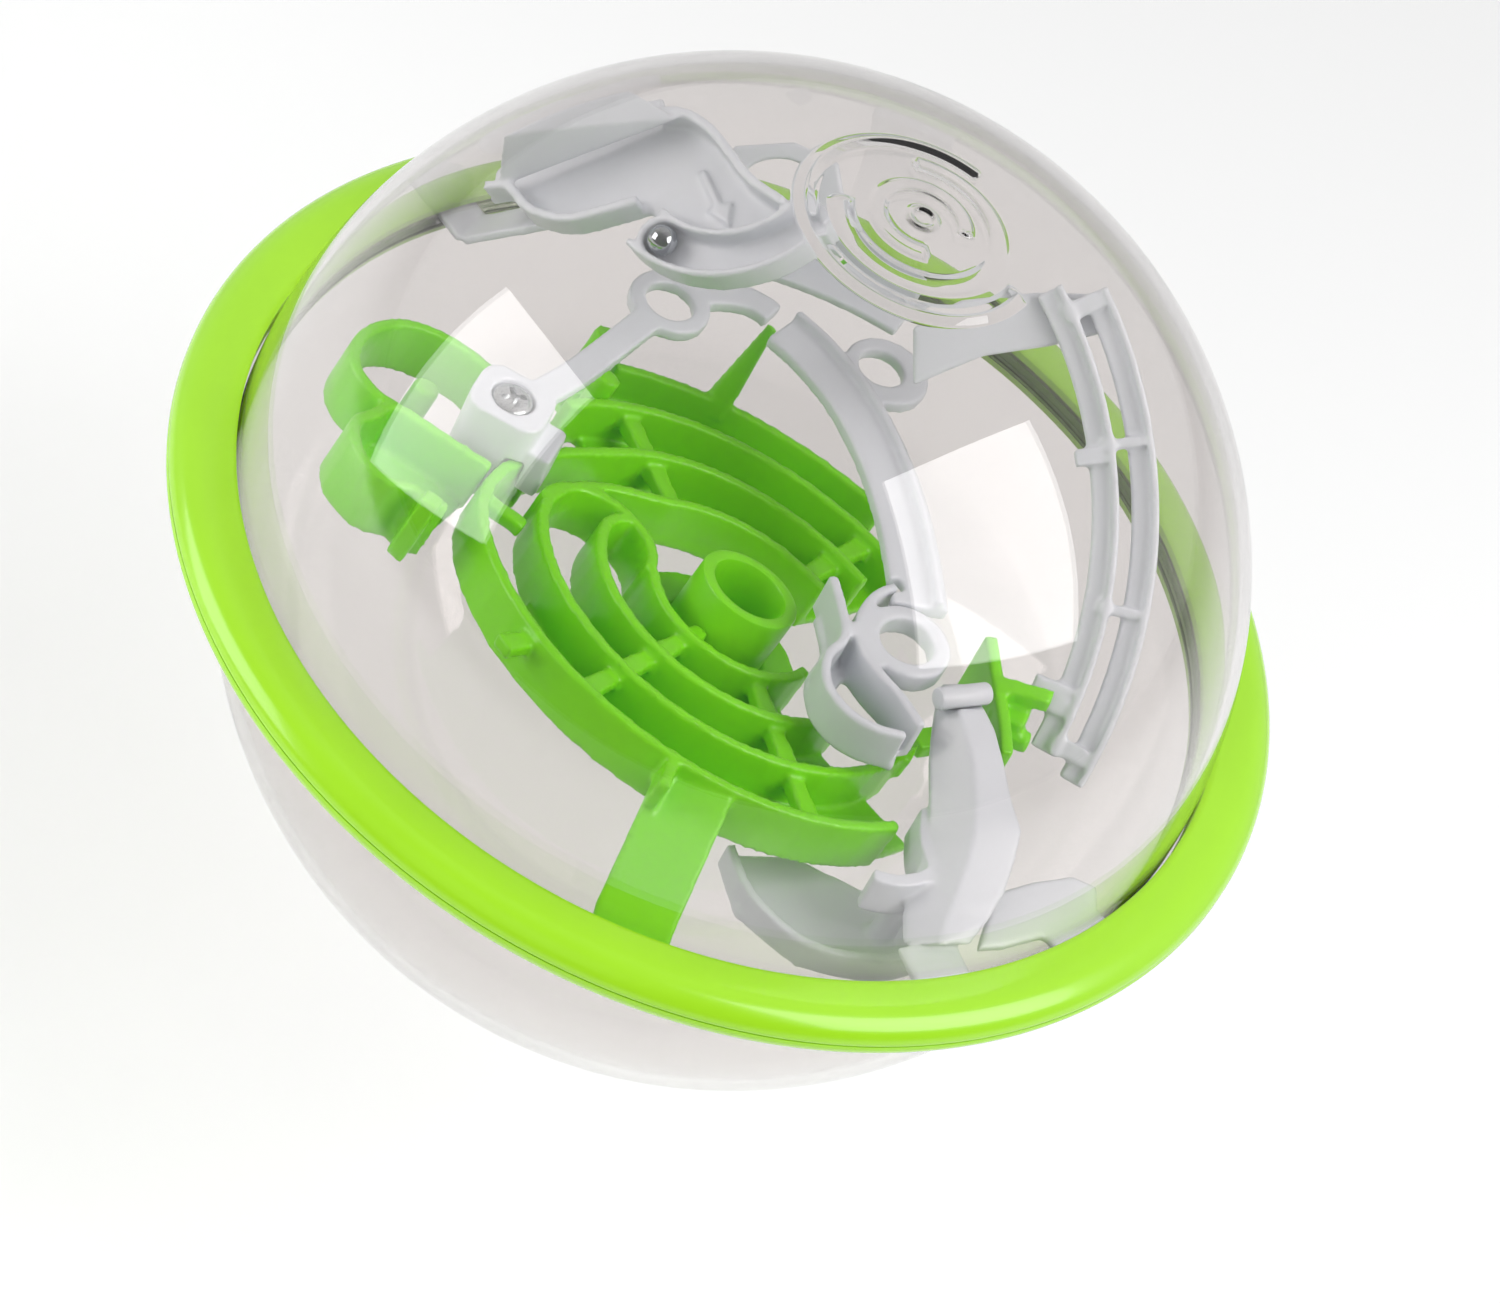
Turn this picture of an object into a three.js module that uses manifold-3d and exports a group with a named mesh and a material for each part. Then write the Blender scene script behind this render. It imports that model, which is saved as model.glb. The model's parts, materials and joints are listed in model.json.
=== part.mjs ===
// A handheld ball maze: two clear domes clamped by a green grip ring, with a green spiral tray,
// white tracks and a loose steel ball inside. Millimetres, +Z up along the axis of the grip ring,
// origin at the centre of the sphere.
import * as THREE from "three";
import { mergeVertices } from "three/addons/utils/BufferGeometryUtils.js";
import Module from "manifold-3d";

const wasm = await Module();
wasm.setup();

// ---- Driving dimensions ----
const domeRadius = 82.5; // outside of the clear sphere
const domeWall = 1.8;
const roundSegments = 48; // facets round the domes and the ring
const flangeReach = 3.5; // how far the dome's flange stands out into the grip ring
const flangeHeight = 1.6;
const ringReach = 10.5; // how far the grip ring stands out from the dome
const ringHalfHeight = 4.2;
const gap = 0.3; // between pieces that touch
const ballRadius = 2.5;
const ballPlay = 0.5; // between the ball and the sides of its channel

const wallWidth = 2; // moulded maze walls
const wallHeight = 9;
const floorThickness = 1.6;
const spiralPitch = 11.3; // from one spiral wall to the next
const spiralOuter = 46.3; // centre line of the outermost near wall
const cupRadius = 8.7;
const cupBore = 6.4;
const cupRise = 4.3; // above the walls
const trayCentre = new THREE.Vector3(3.5, -6.7, 0);
const trayTilt = new THREE.Euler(-13.1 * (Math.PI / 180), 6.9 * (Math.PI / 180), 0);

const startCentre = new THREE.Vector3(-35.1, 27.5, 30); // where the ball waits
const startTilt = new THREE.Euler(35 * (Math.PI / 180), -29.8 * (Math.PI / 180), 0);
const channelRadius = 20; // centre line of the ball's curved channel
const channelStart = -100; // degrees, the ball's resting place on the channel
const channelSweep = 75;
const channelWall = 1.2;

const railTilt = new THREE.Euler(45.8 * (Math.PI / 180), 0, 0);
const railCentre = [-18.5, 0.2];
const railRadius = 77.7; // outer edge of the inner rail
const railSpacing = 6.4;
const railWidth = 4.3;
const railThickness = 2;
const lipHeight = 1.6;
const lipWidth = 1.2;

const armLevel = 13.2; // top of the white arm and of the ridge track
const armThickness = 2.4;
const eyeBore = 4.2;
const eyeRadius = 7;
const ridgeWidth = 9.5;
const screwHeadRadius = 3.4;
const screwShankRadius = 1.5;

const domeInside = domeRadius - domeWall;

// ---- Materials ----
const clear = new THREE.MeshStandardMaterial({ color: 0xe8ecec, roughness: 0.05, metalness: 0 });
clear.transparent = true;
clear.opacity = 0.25;
const lime = new THREE.MeshStandardMaterial({ color: 0x7cdc22, roughness: 0.25, metalness: 0 });
const green = new THREE.MeshStandardMaterial({ color: 0x55b81c, roughness: 0.4, metalness: 0 });
const white = new THREE.MeshStandardMaterial({ color: 0xdfe1e3, roughness: 0.4, metalness: 0 });
const steel = new THREE.MeshStandardMaterial({ color: 0x9aa0a4, roughness: 0.15, metalness: 1 });

// ---- Solids ----
function solid(geometry) {
  const bare = geometry.clone();
  bare.deleteAttribute("normal");
  bare.deleteAttribute("uv");
  const merged = mergeVertices(bare, 1e-4);
  const mesh = new wasm.Mesh({
    numProp: 3,
    vertProperties: new Float32Array(merged.attributes.position.array),
    triVerts: new Uint32Array(merged.index.array),
  });
  return new wasm.Manifold(mesh);
}

function join(...parts) {
  return parts.flat().reduce((sum, part) => sum.add(part));
}

function geometryOf(manifold) {
  const made = manifold.getMesh();
  const geometry = new THREE.BufferGeometry();
  geometry.setAttribute("position", new THREE.BufferAttribute(made.vertProperties, 3));
  geometry.setIndex(new THREE.BufferAttribute(made.triVerts, 1));
  geometry.computeVertexNormals();
  return geometry;
}

function addPiece(group, name, body, material) {
  const geometry = body.isBufferGeometry ? body : geometryOf(body);
  const mesh = new THREE.Mesh(geometry, material.clone());
  mesh.name = name;
  group.add(mesh);
  return mesh;
}

// ---- Paths and outlines, in the plane of a piece ----
const toRadians = THREE.MathUtils.degToRad;

function polar(radius, degrees, centre = [0, 0]) {
  const angle = toRadians(degrees);
  return new THREE.Vector2(
    centre[0] + radius * Math.cos(angle),
    centre[1] + radius * Math.sin(angle),
  );
}

// A path whose radius is a number or a function of the angle in degrees.
function arcPath(radius, from, to, steps, centre) {
  const path = [];
  for (let i = 0; i <= steps; i++) {
    const angle = from + ((to - from) * i) / steps;
    path.push(polar(typeof radius === "function" ? radius(angle) : radius, angle, centre));
  }
  return path;
}

function splinePath(points, steps) {
  const curve = new THREE.SplineCurve(points.map(([x, y]) => new THREE.Vector2(x, y)));
  return curve.getPoints(steps);
}

function sideways(path, index, distance) {
  const before = path[Math.max(index - 1, 0)];
  const after = path[Math.min(index + 1, path.length - 1)];
  const along = after.clone().sub(before).normalize();
  return new THREE.Vector2(-along.y, along.x).multiplyScalar(distance).add(path[index]);
}

// The outline of a strip of one width along a path, or of a width that tapers to its end.
function stripShape(path, width, endWidth = width) {
  const left = [];
  const right = [];
  path.forEach((point, index) => {
    const share = index / (path.length - 1);
    const half = (width + (endWidth - width) * share) / 2;
    left.push(sideways(path, index, half));
    right.unshift(sideways(path, index, -half));
  });
  return new THREE.Shape([...left, ...right]);
}

function ringShape(radius, bore, x = 0, y = 0) {
  const shape = new THREE.Shape().absarc(x, y, radius, 0, 2 * Math.PI, false);
  if (bore) shape.holes.push(new THREE.Path().absarc(x, y, bore, 0, 2 * Math.PI, true));
  return shape;
}

function extrude(shape, low, high, curveSegments = 10) {
  const options = { depth: high - low, bevelEnabled: false, curveSegments };
  return solid(new THREE.ExtrudeGeometry(shape, options).translate(0, 0, low));
}

function wall(path, width, low, high, endWidth) {
  return extrude(stripShape(path, width, endWidth), low, high);
}

function outline(points, low, high) {
  return extrude(new THREE.Shape(points.map(([x, y]) => new THREE.Vector2(x, y))), low, high);
}

function block(x0, x1, y0, y1, z0, z1) {
  const box = new THREE.BoxGeometry(x1 - x0, y1 - y0, z1 - z0);
  return solid(box.translate((x0 + x1) / 2, (y0 + y1) / 2, (z0 + z1) / 2));
}

// A profile of [radius, height] points turned about Z.
function turned(profile, segments) {
  const points = profile.map(([radius, height]) => new THREE.Vector2(radius, height));
  return solid(new THREE.LatheGeometry(points, segments).rotateX(Math.PI / 2));
}

const object = new THREE.Group();
const trayGroup = new THREE.Group();
trayGroup.position.copy(trayCentre);
trayGroup.rotation.copy(trayTilt);
const startGroup = new THREE.Group();
startGroup.position.copy(startCentre);
startGroup.rotation.copy(startTilt);
const railGroup = new THREE.Group();
railGroup.rotation.copy(railTilt);
object.add(trayGroup, startGroup, railGroup);

// ---- Clear domes: a hemisphere with a flange that the grip ring clamps ----
function sphereArc(radius, fromHeight, steps) {
  const start = Math.asin(fromHeight / radius);
  const points = [];
  for (let i = 0; i <= steps; i++) {
    const angle = start + ((Math.PI / 2 - start) * i) / steps;
    points.push([i === steps ? 0 : radius * Math.cos(angle), radius * Math.sin(angle)]);
  }
  return points;
}

const domeSteps = 7;
const domeFlats = 1.1; // how far a piece inside stays off the dome, whose flats cut inwards
const flangeTop = gap / 2 + flangeHeight;
const flangeRadius = domeRadius + flangeReach;
const domeProfile = [
  ...sphereArc(domeInside, gap / 2, domeSteps).reverse(),
  [flangeRadius, gap / 2],
  [flangeRadius, flangeTop],
  ...sphereArc(domeRadius, flangeTop, domeSteps),
];
const plainDome = turned(domeProfile, roundSegments);

// A plain motif of rings with openings and a dot, raised on the top of the upper dome.
const motifRise = 0.6;
const motifLine = 1.3;
const motifRings = [
  { radius: 7, from: 20, to: 290 },
  { radius: 12.5, from: 200, to: 470 },
  { radius: 18, from: 80, to: 350 },
];
function motif() {
  const high = domeRadius + motifRise;
  const lines = motifRings.map(({ radius, from, to }) =>
    wall(arcPath(radius, from, to, 10), motifLine, domeRadius - 5, high + 1));
  const dot = extrude(ringShape(2), domeRadius - 5, high + 1, 5);
  const outer = solid(new THREE.SphereGeometry(high, 36, 28).rotateX(Math.PI / 2));
  const inner = solid(new THREE.SphereGeometry(domeInside + domeWall / 2, 24, 24).rotateX(Math.PI / 2));
  return join(dot, lines).intersect(outer).subtract(inner);
}

// The feet of the maze pass out between the domes into the ring, each through a notch.
const feet = {
  strut: { angle: -80.5, width: 12.4 },
  beam: { angle: -44.5, width: 10 },
  rimPlate: { angle: -25, width: 12 },
  startLeg: { angle: 148, width: 8 },
  backTrack: { angle: 95, width: 10 },
};
const footBottom = gap / 2;
const footThickness = flangeHeight;
const footEnd = flangeRadius - 1.2; // short of the ring, whose flats cut in between its corners
function notch({ angle, width }) {
  return block(domeInside - 4, flangeRadius + 5, -width / 2 - gap, width / 2 + gap, -1,
    flangeTop + gap).rotate([0, 0, angle]);
}
function footTongue({ angle, width }, inner) {
  return block(inner, footEnd, -width / 2, width / 2, footBottom,
    footBottom + footThickness).rotate([0, 0, angle]);
}
const notches = join(Object.values(feet).map(notch));
addPiece(object, "upper_dome", plainDome.add(motif()).subtract(notches), clear);
addPiece(object, "lower_dome", geometryOf(plainDome).rotateX(Math.PI), clear);

// ---- Grip ring: two mouldings that close over the flanges ----
const ringRadius = domeRadius + ringReach;
const ringInner = domeRadius + gap;
const ringShoulder = 3.6; // height of the inner edge, against the dome
const ringCrown = ringRadius - 4.9; // where the outside curve reaches its full height
const ringSwell = 0.15; // of the upper face between the crown and the dome
const ringProfile = [[flangeRadius + gap, gap / 2]];
for (let i = 0; i <= 5; i++) {
  const angle = (Math.PI / 2) * (i / 5);
  ringProfile.push([
    ringCrown + (ringRadius - ringCrown) * Math.cos(angle),
    gap / 2 + (ringHalfHeight - gap / 2) * Math.sin(angle),
  ]);
}
ringProfile.push(
  [(ringCrown + ringInner) / 2, (ringHalfHeight + ringShoulder) / 2 + ringSwell],
  [ringInner, ringShoulder],
  [ringInner, flangeTop + gap],
  [flangeRadius + gap, flangeTop + gap],
  [flangeRadius + gap, gap / 2],
);
const ringHalf = turned(ringProfile, roundSegments);
addPiece(object, "grip_ring_upper", ringHalf, lime);
addPiece(object, "grip_ring_lower", geometryOf(ringHalf).rotateX(Math.PI), lime);

// ---- Spiral tray: walls in half turns that step in by one pitch on the left ----
const smooth = (share) => THREE.MathUtils.smoothstep(share, 0, 1);
const spiralSecond = spiralOuter - spiralPitch;
const spiralThird = spiralSecond - spiralPitch + 0.8;
const spiralFourth = spiralThird - spiralPitch + 1.7;
const trayBottom = -wallHeight;
const floorTop = trayBottom + floorThickness;
const firstWall = (angle) => spiralOuter - spiralPitch * smooth((-150 - angle) / 65);
const secondWall = (angle) => spiralSecond - spiralPitch * smooth((-165 - angle) / 60);

function sector(inner, outer, from, to, steps, low, high) {
  const edge = [...arcPath(outer, from, to, steps), ...arcPath(inner, to, from, steps)];
  return extrude(new THREE.Shape(edge), low, high);
}

// A rung ties two walls together below their tops.
function rung(angle, inner, outer) {
  const halfTurn = THREE.MathUtils.radToDeg(1.7 / ((inner + outer) / 2));
  return sector(inner, outer, angle - halfTurn, angle + halfTurn, 1, -4, -1.6);
}

// A flat bar between two points, its width level.
function bar(from, to, width, thickness) {
  const start = new THREE.Vector3(...from);
  const along = new THREE.Vector3(...to).sub(start);
  const length = along.length();
  const side = new THREE.Vector3(0, 0, 1).cross(along).normalize();
  const up = along.clone().cross(side).normalize();
  const matrix = new THREE.Matrix4().makeBasis(along.normalize(), side, up).setPosition(start);
  return block(0, length, -width / 2, width / 2, -thickness / 2, thickness / 2)
    .transform(matrix.toArray());
}

const trayMatrix = new THREE.Matrix4().makeRotationFromEuler(trayTilt).setPosition(trayCentre);
const intoTray = trayMatrix.clone().invert();
function inTray(x, y, z) {
  return new THREE.Vector3(x, y, z).applyMatrix4(trayMatrix).toArray();
}

const hairpinRadius = (spiralSecond - spiralFourth) / 2;
const hairpinCentre = [-(spiralSecond + spiralFourth) / 2, -4.6];
const hairpin = arcPath(hairpinRadius, 182, -2, 16, hairpinCentre);
const thirdEnd = polar(spiralThird, -178);
const thirdHook = splinePath(
  [[thirdEnd.x, thirdEnd.y], [thirdEnd.x + 0.9, thirdEnd.y + 3], [thirdEnd.x + 2.9, thirdEnd.y + 5.1]],
  4);
const nearFloorEnd = -22;
const postSpot = [-43, -3]; // the white post, in the plane of the object
const lugSpot = new THREE.Vector3(postSpot[0], postSpot[1], 0).applyMatrix4(intoTray);
const lugRadius = 7;
const legSpot = [-19.5, 54.5];
const legHeight = 20;

// A sloping plate from a tray wall down to its foot in the ring.
function strut(wallAngle, wallRadius, foot) {
  const top = polar(wallRadius, wallAngle);
  const low = polar(domeInside - 3, foot.angle);
  const sloping = bar(inTray(top.x, top.y, -2.6), [low.x, low.y, footBottom + footThickness / 2],
    foot.width, footThickness);
  return sloping.add(footTongue(foot, domeInside - 4)).transform(intoTray.toArray());
}

const trayWalls = [
  wall(arcPath(firstWall, -34, -298, 34), wallWidth, trayBottom, 0),
  wall(arcPath(secondWall, -12, -298, 34), wallWidth, trayBottom, 0),
  wall(arcPath(spiralSecond + 1, -13, -4, 2), wallWidth, trayBottom / 2, 0, 0.3),
  wall(hairpin, wallWidth, trayBottom, 0),
  wall(arcPath(spiralFourth, -162, -12, 14), wallWidth, trayBottom, 0),
  wall(arcPath(spiralThird, -15, -178, 20), wallWidth, trayBottom, 0),
  wall(thirdHook, wallWidth, trayBottom, 0),
  wall(arcPath(spiralOuter, 62, 150, 14), wallWidth, trayBottom, 0),
  wall(arcPath(spiralOuter + spiralPitch, 76, 130, 10), wallWidth, trayBottom, -1),
];
const trayFloors = [
  sector(cupRadius + gap, spiralFourth + 0.5, -179, 179, 24, trayBottom, floorTop),
  sector(spiralFourth, spiralOuter, -140, nearFloorEnd, 16, trayBottom, floorTop),
  sector(spiralThird - 2, spiralOuter + spiralPitch, 78, 128, 8, trayBottom, floorTop),
  sector(spiralThird - 2, spiralOuter, 62, 142, 10, trayBottom, floorTop),
];
const trayRungs = [
  rung(-108, spiralSecond, spiralOuter),
  rung(-108, spiralThird, spiralSecond),
  rung(-108, spiralFourth, spiralThird),
  rung(-108, cupRadius + gap, spiralFourth),
  rung(-54, spiralSecond, spiralOuter),
  rung(-54, spiralThird, spiralSecond),
  rung(-54, spiralFourth, spiralThird),
  rung(132, spiralSecond, spiralOuter),
  rung(132, spiralThird, spiralSecond),
  rung(73, spiralSecond, spiralOuter),
  rung(73, spiralThird, spiralSecond),
];
const lug = join(
  extrude(ringShape(lugRadius, 0, lugSpot.x, lugSpot.y), trayBottom, floorTop),
  block(lugSpot.x, -38, lugSpot.y - 4, lugSpot.y + 4, trayBottom, floorTop),
  block(-42, -35, -14.5, -11.5, -4, -1.6),
);
const leg = solid(
  new THREE.CylinderGeometry(1, 2.8, legHeight, 8).rotateX(Math.PI / 2).scale(1, 0.6, 1)
    .translate(legSpot[0], legSpot[1], legHeight / 2 - 4),
);
const farKnob = polar(spiralOuter + spiralPitch + 1.1, 134.3);
const nearKnob = polar(spiralOuter + 4, 137.4);
const knobs = [
  extrude(ringShape(2.4, 0, farKnob.x, farKnob.y), trayBottom, 4, 5),
  extrude(ringShape(2.2, 0, nearKnob.x, nearKnob.y), trayBottom, 2, 5),
  sector(spiralOuter - 0.6, spiralOuter + spiralPitch - 0.3, 127, 141, 4, trayBottom, floorTop),
];
const outsideTab = rung(-122, spiralOuter, spiralOuter + 6.5);
const nearStrut = strut(-80, spiralOuter, feet.strut);
const gusset = wall([polar(spiralOuter, -86), polar(spiralOuter + 8, -86)], wallWidth, -5.5, -0.4);
const screwHole = solid(
  new THREE.CylinderGeometry(screwShankRadius + gap, screwShankRadius + gap, 40, 16)
    .rotateX(Math.PI / 2).translate(postSpot[0], postSpot[1], 0),
).transform(intoTray.toArray());
const tray = join(trayWalls, trayFloors, trayRungs, lug, leg, outsideTab, nearStrut, gusset,
  knobs).subtract(screwHole);
addPiece(trayGroup, "spiral_tray", tray, green);

// ---- Centre cup: the goal, a separate tube pushed through the middle of the tray ----
const cupFloor = -4;
const cupBottom = trayBottom - 1.5;
const cup = turned(
  [
    [0, cupBottom],
    [cupRadius, cupBottom],
    [cupRadius, cupRise],
    [cupBore, cupRise],
    [cupBore, cupFloor],
    [0, cupFloor],
  ],
  32,
);
addPiece(trayGroup, "centre_cup", cup, green);

// ---- Clover track: wavy loops on the left of the tray ----
const cloverWall = 2;
const cloverBottom = -9.5;
const cloverLoop = splinePath(
  [[-44.5, -7.2], [-50, -7.5], [-59, -8], [-66, -8.5], [-71, -5], [-73, 2], [-71.5, 10], [-67, 16],
    [-60, 18.5], [-52, 17.5], [-46, 13.5]], 30);
const cloverLobe = splinePath(
  [[-63, -9], [-64, -14], [-65.5, -19], [-62.5, -25.5], [-56.5, -28], [-52.5, -25.5],
    [-49.5, -25.8], [-46.5, -24.5]], 20);
const clover = join(
  wall(cloverLoop, cloverWall, cloverBottom, 0),
  wall(cloverLobe, cloverWall, cloverBottom - 1, 0),
  extrude(ringShape(2.3, 0, -60, 4), cloverBottom, -1.5, 8),
  outline([[-61, -9], [-45, -9], [-47, -24], [-56, -27], [-64, -20]], cloverBottom, -8),
  block(-73, -60, 3, 5, cloverBottom, -8),
  block(-50.5, -47.5, -29.5, -26, cloverBottom - 1, 1.5),
)
  .subtract(extrude(ringShape(lugRadius + gap, 0, lugSpot.x, lugSpot.y), -20, floorTop + gap))
  .subtract(wall(arcPath(firstWall, -130, -240, 24), wallWidth + 2 * gap, -20, 5));
addPiece(trayGroup, "clover_track", clover, green);

// ---- White arm: a screwed post, an eye and an end that rests over the tray's leg ----
const armBottom = armLevel - armThickness;
const postTop = armLevel;
const lugTop = new THREE.Vector3(lugSpot.x, lugSpot.y, floorTop).applyMatrix4(trayMatrix).z;
const postBottom = lugTop + 2.4;
const headDepth = 1.6;
const eyeSpot = [-30, 35];
function roundedBox(x0, x1, y0, y1, corner, low, high) {
  const shape = new THREE.Shape();
  shape.absarc(x1 - corner, y1 - corner, corner, 0, Math.PI / 2, false);
  shape.absarc(x0 + corner, y1 - corner, corner, Math.PI / 2, Math.PI, false);
  shape.absarc(x0 + corner, y0 + corner, corner, Math.PI, 1.5 * Math.PI, false);
  shape.absarc(x1 - corner, y0 + corner, corner, 1.5 * Math.PI, 2 * Math.PI, false);
  return extrude(shape, low, high, 4);
}
const armNear = splinePath([[-40, 1], [-37, 9], [-34.5, 18], [-31.5, 30]], 12);
const armFar = splinePath([[-27, 40], [-23, 43.5], [-18.5, 45.5], [-14.5, 45]], 8);
const post = join(
  roundedBox(postSpot[0] - 6.5, postSpot[0] + 6.5, postSpot[1] - 6, postSpot[1] + 5.5, 3.4,
    postBottom, postTop),
  roundedBox(postSpot[0] + 5, postSpot[0] + 10, postSpot[1] - 4.5, postSpot[1] + 4, 1,
    postBottom, postTop - 5),
  wall(armNear, 5, armBottom, armLevel),
  wall(armNear, 1.4, armBottom - 3, armBottom + 0.5),
  wall(armFar, 5, armBottom, armLevel),
  extrude(ringShape(eyeRadius, 0, ...eyeSpot), armBottom, armLevel, 12),
);
const eyeHole = extrude(ringShape(eyeBore, 0, ...eyeSpot), armBottom - 5, armLevel + 5, 12);
const headHole = extrude(ringShape(screwHeadRadius + gap, 0, ...postSpot),
  postTop - headDepth - gap, postTop + 5, 12);
const shankHole = extrude(ringShape(screwShankRadius + gap, 0, ...postSpot),
  postBottom - 5, postTop, 8);
const roomWidth = wallWidth + 2 * gap;
const wallRoom = join(
  wall(arcPath(firstWall, -130, -240, 24), roomWidth, -20, gap),
  wall(arcPath(secondWall, -150, -240, 20), roomWidth, -20, gap),
  wall(hairpin, roomWidth, -20, gap),
).transform(trayMatrix.toArray());
const armBody = post.subtract(eyeHole).subtract(headHole).subtract(shankHole).subtract(wallRoom);
addPiece(object, "screwed_arm", armBody, white);

// ---- Pan-head screws with a cross recess ----
function screw(length) {
  const head = [[0, -headDepth], [screwHeadRadius, -headDepth], [screwHeadRadius, -0.7],
    [screwHeadRadius * 0.8, -0.15], [screwHeadRadius * 0.4, 0], [0, 0]];
  const shank = extrude(ringShape(screwShankRadius), -length, -headDepth + 0.1, 8);
  const cross = join(
    block(-1.9, 1.9, -0.35, 0.35, -1.1, 1),
    block(-0.35, 0.35, -1.9, 1.9, -1.1, 1),
  );
  return turned(head, 20).add(shank).subtract(cross);
}
const postScrew = addPiece(object, "arm_screw", screw(postTop - postBottom + 2.5), steel);
postScrew.position.set(postSpot[0], postSpot[1], postTop);

// ---- Ridge track: the broad white band that curves past the tray ----
const ridgePath = splinePath(
  [[-12, 43.5], [-5, 41], [4, 35.5], [13, 26.5], [20.5, 16], [26, 6], [29, 0]], 22);
const ridgeEye = [6.2, 45.8];
const ridge = join(
  wall(ridgePath, ridgeWidth, armLevel - armThickness, armLevel),
  wall(ridgePath.map((point, index) => sideways(ridgePath, index, 2.6)), 1.4, armLevel - 0.5,
    armLevel + 1.8),
  extrude(ringShape(7.4, 0, ...ridgeEye), armLevel - armThickness, armLevel, 12),
).subtract(extrude(ringShape(4, 0, ridgeEye[0] - 1, ridgeEye[1]), 0, armLevel + 5, 12));

// ---- Wave track: a wavy wall and a loop above the right of the tray ----
const waveBottom = 4.6;
const waveTop = 13;
const waveWallWidth = 1.6;
const waveEyeRadius = 7.4;
const waveWall = splinePath(
  [[14.5, -3], [18.5, -9], [20.6, -14], [19.6, -19], [21.5, -24.5], [26, -27.8], [31, -28.2],
    [36, -26.5]], 28);
const waveLoop = splinePath(
  [[24, 2], [21.8, -2], [21.3, -8], [23.5, -13.5], [28, -17], [33, -19.5], [37.5, -23]], 20);
const waveEye = [29.5, -8];
const waveFloor = splinePath(
  [[17, -5], [21, -12], [21, -20], [25, -25], [31, -25.5], [36.5, -25]], 16);
const wave = join(
  wall(waveWall, waveWallWidth, waveBottom, waveTop),
  wall(waveLoop, waveWallWidth, waveBottom, waveTop),
  extrude(ringShape(waveEyeRadius, 4.6, ...waveEye), waveTop - 4, waveTop, 12),
  wall(waveFloor, 5, waveBottom, waveBottom + 1.6),
);

// ---- Arched beam: rises from the ring to the cross pin, and hooks round the end of the tray ----
// Each station: a point on the ridge line's foot, and the reach of the left and right edges.
const beamStations = [
  { at: [39.6, -9.9, 11.6], left: 2.6, right: 3.4 },
  { at: [40.5, -13.3, 11.2], left: 3, right: 4 },
  { at: [43.6, -17.6, 10.9], left: 4.9, right: 4.9 },
  { at: [47, -22.4, 10.2], left: 6.6, right: 5 },
  { at: [49.9, -28.1, 8.8], left: 6.8, right: 5.9 },
  { at: [51.9, -32.7, 7.4], left: 6.7, right: 7.6 },
  { at: [53, -37.5, 5.8], left: 6.8, right: 7.6 },
  { at: [53.5, -42.7, 4.2], left: 6.8, right: 7.8 },
  { at: [54, -47.1, 3.2], left: 6.4, right: 7 },
  { at: [54.6, -52.5, 2.6], left: 5, right: 5 },
];
const stationOverlap = 0.02; // share of its length by which each length runs into the next
const beamSide = new THREE.Vector3(0.875, 0.337, 0.347);
const beamFront = new THREE.Vector3(0, -0.718, 0.696);
// The beam's section is a low roof: a ridge in front, two sloping faces and a flat back.
function beamSection({ at, left, right }, margin) {
  const corners = [[0.3, 2.8 + margin], [-left - margin, -0.4], [right + margin, -0.4],
    [-left - margin, -2.4 - margin], [right + margin, -2.4 - margin]];
  return corners.map(([across, forward]) => new THREE.Vector3(...at)
    .addScaledVector(beamSide, across).addScaledVector(beamFront, forward).toArray());
}
function beamSweep(margin) {
  const sections = beamStations.map((station) => beamSection(station, margin));
  return join(sections.slice(1).map((section, index) => {
    const start = sections[index];
    const end = section.map((corner, k) =>
      corner.map((value, axis) => value + stationOverlap * (value - start[k][axis])));
    return wasm.Manifold.hull([...start, ...end]);
  }));
}
const pinRadius = 1.8;
const pinLength = 9.5;
const pinSpot = new THREE.Vector3(41, -13.6, 13.4);
function pinRod(radius, length) {
  return solid(
    new THREE.CylinderGeometry(radius, radius, length, 16).rotateZ(Math.PI / 2)
      .rotateZ(Math.PI / 4).translate(...pinSpot),
  );
}
const hookPath = splinePath([[44.5, -30], [46.5, -36], [49.5, -41], [46, -46], [41.5, -48]], 14);
const hookBottom = -3;
const beamHook = wall(hookPath, 2.4, hookBottom, 4.5);
const beamLink = bar([48.5, -38, 3], [54, -38, 5.5], 5, 3);
const beamFootStart = 74.7; // radius at which the beam's foot begins
const beamFoot = footTongue(feet.beam, beamFootStart);
const beamRoom = solid(new THREE.SphereGeometry(domeInside - 1.5, 32, 24));
const beam = join(beamSweep(0).intersect(beamRoom), beamHook, beamLink, beamFoot)
  .subtract(pinRod(pinRadius + gap, 30));
addPiece(object, "arched_beam", beam, white);
addPiece(object, "cross_pin", pinRod(pinRadius, pinLength), white);
addPiece(object, "wave_track", wave.subtract(beamSweep(gap)), white);
const waveRoom = join(
  extrude(ringShape(waveEyeRadius + gap, 0, ...waveEye), 0, 20, 12),
  wall(waveLoop, waveWallWidth + 2 * gap, 0, 20),
  wall(waveWall, waveWallWidth + 2 * gap, 0, 20),
  extrude(ringShape(waveWallWidth / 2 + 2 * gap, 0, waveLoop[0].x, waveLoop[0].y), 0, 20, 6),
);
addPiece(object, "ridge_track", ridge.subtract(waveRoom), white);

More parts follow.
